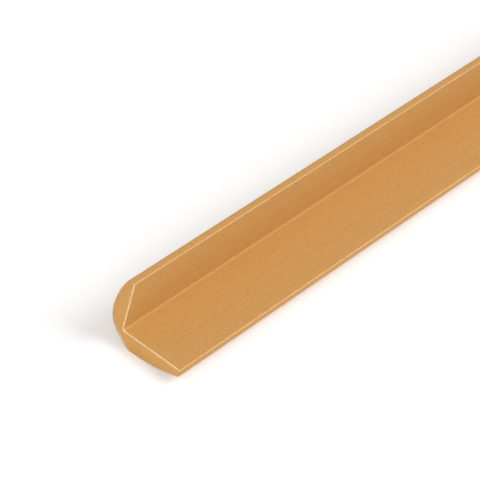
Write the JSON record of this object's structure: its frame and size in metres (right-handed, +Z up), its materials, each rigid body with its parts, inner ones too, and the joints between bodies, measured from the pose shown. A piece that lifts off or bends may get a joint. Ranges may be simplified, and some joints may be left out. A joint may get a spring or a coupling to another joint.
{
  "type": "angle trim",
  "caption": "Solid PVC angle trim: an L section with flat inner faces, crowned outer faces and a flattened heel, extruded straight and cut square at both ends.",
  "frame": {"origin": "middle of the length and of the width, on the floor under the crown of the wide leg", "axes": "+X along the extrusion, -Y along the wide leg from heel to tip, +Z up along the narrow leg"},
  "size_m": [1, 0.0198, 0.017],
  "materials": {
    "pvc": "satin, light tan, coloured right through, very fine surface grain"
  },
  "bodies": {
    "root": {"angle_trim": "pvc"}
  },
  "joints": []
}
